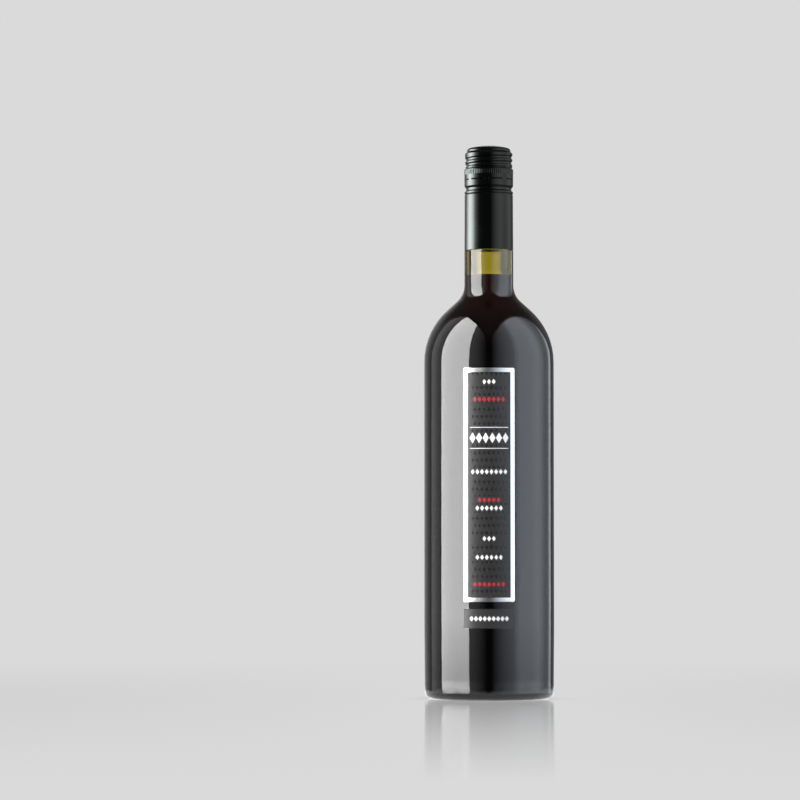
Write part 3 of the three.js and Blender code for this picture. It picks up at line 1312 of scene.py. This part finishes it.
def foot_motifs(height: float) -> list[Motif]:
    """The motif of the lower label, one row of lozenges halfway up its height."""
    return [Motif(0.5 * height, Ink.WHITE, 9, half_width=1.2 * MM, half_height=1.55 * MM, pitch=2.5 * MM)]


def link_light(light: bpy.types.Object, receivers: Sequence[bpy.types.Object], only: bool) -> None:
    """Limits which pieces a light reaches.

    Args:
        light: the glowing object.
        receivers: the pieces that its light is, or isn't, meant for.
        only: True if it lights these pieces alone, False if it lights all but these.
    """
    group = bpy.data.collections.new(light.name + "_receivers")
    for piece in receivers:
        group.objects.link(piece)
    if not only:
        for entry in group.collection_objects:
            entry.light_linking.link_state = "EXCLUDE"
    light.light_linking.receiver_collection = group


@dataclass(frozen=True)
class LightPanel:
    """A tall curved panel of light, given by where it stands round the bottle.

    The turn is counted in degrees from the camera's side, positive to the right. The profile is a row
    of (turn, brightness) pairs, from left to right.
    """

    name: str
    profile: Profile
    tint: Colour = (1.0, 1.0, 1.0)
    low: float = -0.16
    fade: float = 0.2
    high: float | None = None
    lowest_top: float = 0.3
    distance: float = 1.0
    columns: int = 48

    def _top(self, angle: np.ndarray) -> np.ndarray:
        """The panel's upper edge: level if its height is given, or else highest at the bottle's sides.

        With c and s as the cosine and sine of the turn, its slope from the bottle is the side slope
        times |s|, plus the front slope times c where c > 0, or less the back slope times -c elsewhere.

        Args:
            angle: the turn at each column.

        Returns:
            The height at each column.
        """
        if self.high is not None:
            return np.full_like(angle, self.high)
        front, back = np.maximum(np.cos(angle), 0), np.maximum(-np.cos(angle), 0)
        slope = SIDE_SLOPE * np.abs(np.sin(angle)) + FRONT_SLOPE * front - BACK_SLOPE * back
        return self.distance * np.maximum(slope, self.lowest_top)

    def build(self, receivers: Sequence[bpy.types.Object], only: bool) -> bpy.types.Object:
        """The panel as a glowing sheet that doesn't stop the light of another.

        The column at a turn t stands at (d sin t, -d cos t), where d is the distance. The light fades in
        from the lower edge up.

        Args:
            receivers: the pieces that the panel's light is, or isn't, meant for.
            only: True if it lights these pieces alone, False if it lights all but these.

        Returns:
            The panel's object.
        """
        first, last = self.profile[0][0], self.profile[-1][0]
        angle = np.radians(np.linspace(first, last, self.columns))
        edges = np.stack([np.full(self.columns, self.low), self._top(angle)])
        across, along = self.distance * np.sin(angle), -self.distance * np.cos(angle)
        points = np.stack(np.broadcast_arrays(across, along, edges), axis=-1).reshape(-1, 3)
        column = np.arange(self.columns - 1)
        above = self.columns + column
        panel = make_mesh(self.name, points, [np.stack([column, column + 1, above + 1, above], axis=-1)])
        material, sheet = new_material(self.name)
        x, y, height = sheet.place()
        turned = sheet.math("ARCTAN2", x, 0 - y) * (180 / math.pi)
        brightest = max(bright for _, bright in self.profile)
        stops = [((place - first) / (last - first), bright / brightest) for place, bright in self.profile]
        glow = sheet.read("ShaderNodeValToRGB", {"stops": stops}, {0: (turned - first) / (last - first)})
        faded = brightest * height.step(self.low, self.low + self.fade)
        finish_light(sheet, glow * faded * (1 - sheet.through_glass()), self.tint)
        panel.data.materials.append(material)
        panel.visible_camera = False
        panel.visible_shadow = False
        link_light(panel, receivers, only)
        return panel


@dataclass
class Studio:
    """The pale room, its floor, the light panels and the camera. Turns are in degrees, as a panel's are."""

    left_panel: Profile = (
        (-123, 0.0), (-121, 0.7), (-112, 0.75), (-104, 0.55), (-92.4, 0.4),
        (-91.9, 10.5), (-35.6, 10.5), (-35.2, 0.85), (-20, 0.42), (-4, 0.0),
    )
    right_panel: Profile = (
        (4, 0.0), (12, 0.3), (27, 0.8), (42, 1.1), (49, 1.75), (56, 2.3), (95, 2.1),
        (112, 0.7), (118, 0.35), (127, 0.35), (132, 1.5), (138.5, 1.6), (140, 0.0),
    )
    surroundings: Profile = (
        (-180, 0.7), (-168, 0.5), (-153, 0.42), (-141, 0.38), (-131, 0.26), (-100, 0.24),
        (-78, 0.06), (-8, 0.035), (8, 0.035), (14, 0.07), (33, 0.2), (54, 0.42),
        (100, 0.5), (125, 0.45), (140, 0.2), (168, 0.18), (174, 0.6), (180, 0.7),
    )
    cap_card: Profile = (
        (-142, 0.0), (-134, 0.4), (-126, 2.4), (-118, 4.8), (-102, 10.2), (-92, 9.4),
        (-84, 7.6), (-76, 4.6), (-70, 1.9), (-64, 0.8), (-53, 0.2), (-45, 0.0),
    )
    cap_fill: Profile = ((10, 0.0), (33, 0.3), (55, 0.35), (85, 0.05), (118, 0.3), (125, 0.0))
    card_top: float = 0.75
    cool: Colour = (0.9, 1.0, 1.14)
    backdrop: float = 0.7
    brightest: float = 2.0
    overhead: float = 0.08
    lowest_top: float = 0.52
    below_dims: float = 0.6
    below_heights: tuple[float, float] = (-0.08, -0.2)
    top_softness: tuple[float, float] = (0.02, 0.2)
    behind_turns: tuple[float, float] = (27.0, 9.0)
    dark_behind: float = 0.03
    floor_half: float = 60.0
    floor_reflects: float = 0.62
    floor_fades: float = 0.75
    # A painted contact shadow on the floor: how far it reaches, and how much it darkens.
    painted_shadow_reach: float = 0.02
    painted_shadow_share: float = 0.25
    foot_glow: float = 1.0
    foot_ring: tuple[float, float] = (0.03, 0.3)
    foot_full: float = 0.05
    lens: float = 160.56
    camera_place: tuple[float, float, float] = (0.0, -2.05, 0.0828)
    camera_tilt: float = 2.471
    camera_turn: float = 1.43

    def build_world(self) -> None:
        """The surroundings: an even pale backdrop for the camera, and a room with flags for the gloss.

        The room's brightness follows the turn from the camera's side. It darkens overhead, above the
        slanted top of the panels, and below the horizon. Through glass only the backdrop right behind
        the bottle shows.
        """
        world = bpy.data.worlds.new("room")
        world.use_nodes = True
        bpy.context.scene.world = world
        sheet = NodeSheet(world.node_tree)
        x, y, z = sheet.place("Generated")
        share = sheet.math("ARCTAN2", x, 0 - y) * (0.5 / math.pi) + 0.5
        stops = [(0.5 + place / 360, bright / self.brightest) for place, bright in self.surroundings]
        around = sheet.read("ShaderNodeValToRGB", {"stops": stops}, {0: share}) * self.brightest
        front, back = sheet.math("MAXIMUM", 0 - y, 0), sheet.math("MAXIMUM", y, 0)
        slope = SIDE_SLOPE * abs(x) + FRONT_SLOPE * front - BACK_SLOPE * back
        limit = sheet.math("MAXIMUM", slope, self.lowest_top)
        soft, softer_behind = self.top_softness
        hidden = ((z - limit) / (soft + softer_behind * back)).step(-1, 1)
        below = z.step(*self.below_heights)
        room = (around * (1 - hidden) + self.overhead * hidden) * (1 - self.below_dims * below)
        behind = sheet.math("ARCTAN2", abs(x), y).step(*map(math.radians, self.behind_turns))
        through = sheet.through_glass()
        seen_through = self.backdrop * behind + self.dark_behind
        room = room * (1 - through) + seen_through * through
        camera_ray = sheet.read("ShaderNodeLightPath", output="Is Camera Ray")
        strength = room * (1 - camera_ray) + self.backdrop * camera_ray
        light = sheet.add("ShaderNodeBackground", None, {"Color": rgba((1, 1, 1)), "Strength": strength})
        sheet.add("ShaderNodeOutputWorld", None, {"Surface": light.outputs[0]})

    def build_floor(self) -> bpy.types.Object:
        """A pale, slightly glossy floor that meets the backdrop without an edge, with a painted contact
        shadow round the bottle's foot.

        Returns:
            The floor.
        """
        half = self.floor_half
        points = np.array([[-half, -half, 0], [half, -half, 0], [half, half, 0], [-half, half, 0]])
        floor = make_mesh("pale_floor", points, [np.array([[0, 1, 2, 3]])])
        material, sheet = new_material("pale_floor")
        # Painted shadow: the floor's even glow darkens where ambient occlusion finds the bottle close by.
        feeds = {"Distance": self.painted_shadow_reach}
        ao_open = sheet.read("ShaderNodeAmbientOcclusion", {"samples": 8}, feeds, "AO")
        glow = self.backdrop * (1 - self.painted_shadow_share + self.painted_shadow_share * ao_open.step(0.3, 1.0))
        plain = sheet.add("ShaderNodeEmission", None, {"Strength": glow})
        gloss = sheet.add("ShaderNodeBsdfGlossy", None, {"Color": rgba((1, 1, 1)), "Roughness": 0.1})
        x, y, _ = sheet.place()
        away = sheet.math("SQRT", x * x + y * y)
        mirror = self.floor_reflects * sheet.math("MAXIMUM", 1 - away / self.floor_fades, 0)
        feeds = {0: mirror, 1: plain.outputs[0], 2: gloss.outputs[0]}
        both = sheet.add("ShaderNodeMixShader", None, feeds)
        sheet.add("ShaderNodeOutputMaterial", None, {"Surface": both.outputs[0]})
        floor.data.materials.append(material)
        floor.visible_glossy = False
        floor.visible_diffuse = False
        return floor

    def build_foot_glow(self, cap: bpy.types.Object) -> bpy.types.Object:
        """A flat ring of light just under the floor, faded outwards, which only the glass mirrors.

        Args:
            cap: the closure, which the ring doesn't light.

        Returns:
            The ring.
        """
        angle = np.radians(np.arange(0, 360, 6))
        radius = np.array(self.foot_ring)[:, None]
        ring = (radius * np.sin(angle), -radius * np.cos(angle), np.full((2, len(angle)), -1 * MM))
        points = np.stack(ring, axis=-1).reshape(-1, 3)
        glow = make_mesh("foot_glow", points, [grid_faces(2, len(angle))])
        material, sheet = new_material("foot_glow")
        x, y, _ = sheet.place()
        away = sheet.math("SQRT", x * x + y * y)
        finish_light(sheet, self.foot_glow * away.step(self.foot_ring[1], self.foot_full))
        glow.data.materials.append(material)
        glow.visible_camera = False
        glow.visible_transmission = False
        glow.visible_diffuse = False
        glow.visible_shadow = False
        link_light(glow, [cap], only=False)
        return glow

    def build_camera(self) -> bpy.types.Object:
        """The camera: level with the lower body, tilted up, with the bottle right of the middle.

        Returns:
            The camera.
        """
        data = bpy.data.cameras.new("camera")
        data.sensor_width = 36.0
        data.lens = self.lens
        data.clip_end = 200.0
        camera = bpy.data.objects.new("camera", data)
        bpy.context.scene.collection.objects.link(camera)
        camera.location = self.camera_place
        camera.rotation_euler = (math.radians(90 + self.camera_tilt), 0.0, math.radians(self.camera_turn))
        bpy.context.scene.camera = camera
        return camera

    def build(self, cap: bpy.types.Object) -> None:
        """Sets the whole studio up. The panels don't light the cap and the floor.

        Args:
            cap: the closure, which has light cards of its own.
        """
        self.build_world()
        floor = self.build_floor()
        self.build_foot_glow(cap)
        self.build_camera()
        LightPanel("left_panel", self.left_panel).build([cap, floor], only=False)
        LightPanel("right_panel", self.right_panel, self.cool).build([cap, floor], only=False)
        LightPanel("cap_card", self.cap_card, high=self.card_top).build([cap], only=True)
        LightPanel("cap_fill", self.cap_fill, high=self.card_top).build([cap], only=True)
        bpy.context.scene.view_settings.view_transform = "Standard"


def report(piece: bpy.types.Object) -> None:
    """Logs one finished piece."""
    LOG.info("%s: %d points, %d faces", piece.name, len(piece.data.vertices), len(piece.data.polygons))


def main() -> None:
    """Loads the frame, builds the bottle's pieces in order and sets up the studio."""
    logging.basicConfig(level=logging.INFO, format="%(name)s: %(message)s")
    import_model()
    cap_low, cap_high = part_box("screw_cap")
    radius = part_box("glass_bottle")[1][0]
    bottle = Bottle(radius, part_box("wine")[1][2], cap_low[2], cap_high[2])
    report(bottle.build_glass())
    report(bottle.build_wine())
    cap = ScrewCap(cap_high[2], cap_low[2], cap_high[0]).build()
    report(cap)
    front = LabelOutline.on_node("front_label", 0.9 * MM)
    foot = LabelOutline.on_node("lower_label", 0.7 * MM)
    front_print = LabelPrint("front_print", front_motifs(front.high - front.low), ghost_rows=True)
    foot_print = LabelPrint("foot_print", foot_motifs(foot.high - foot.low))
    report(Label("label_panel", "front_label", "label_print", radius, front, front_print).build())
    report(Label("foot_label", "lower_label", "label_print", radius, foot, foot_print).build())
    report(FoilFrame(radius, front).build())
    Studio().build(cap)


if __name__ == "__main__":
    main()
